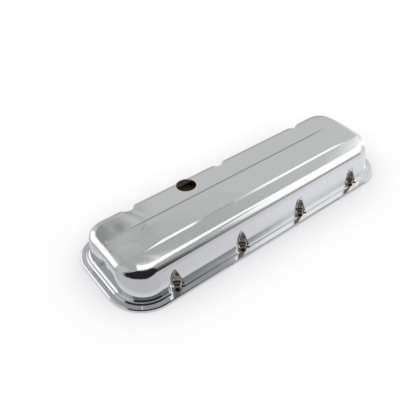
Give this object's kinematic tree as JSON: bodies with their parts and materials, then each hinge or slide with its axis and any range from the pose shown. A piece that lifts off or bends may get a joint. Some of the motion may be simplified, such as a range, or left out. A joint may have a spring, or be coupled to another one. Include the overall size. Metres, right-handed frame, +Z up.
{
  "type": "engine valve cover",
  "caption": "Stamped chrome valve cover: turned down lip, flange and ledge, scalloped bolt pads, raised roof panel, and a breather hole over a welded oil baffle.",
  "frame": {"origin": "middle of the cover's length and width, on the plane the lip's lower edge stands on", "axes": "+X along the cover, +Y towards the intake side with the breather hole, +Z up through the roof"},
  "size_m": [0.537, 0.171, 0.0614],
  "materials": {
    "cover": "bright chrome plate on stamped steel",
    "baffle": "dull plated steel"
  },
  "bodies": {
    "root": {"cover_shell": "cover", "oil_baffle": "baffle"}
  },
  "joints": []
}
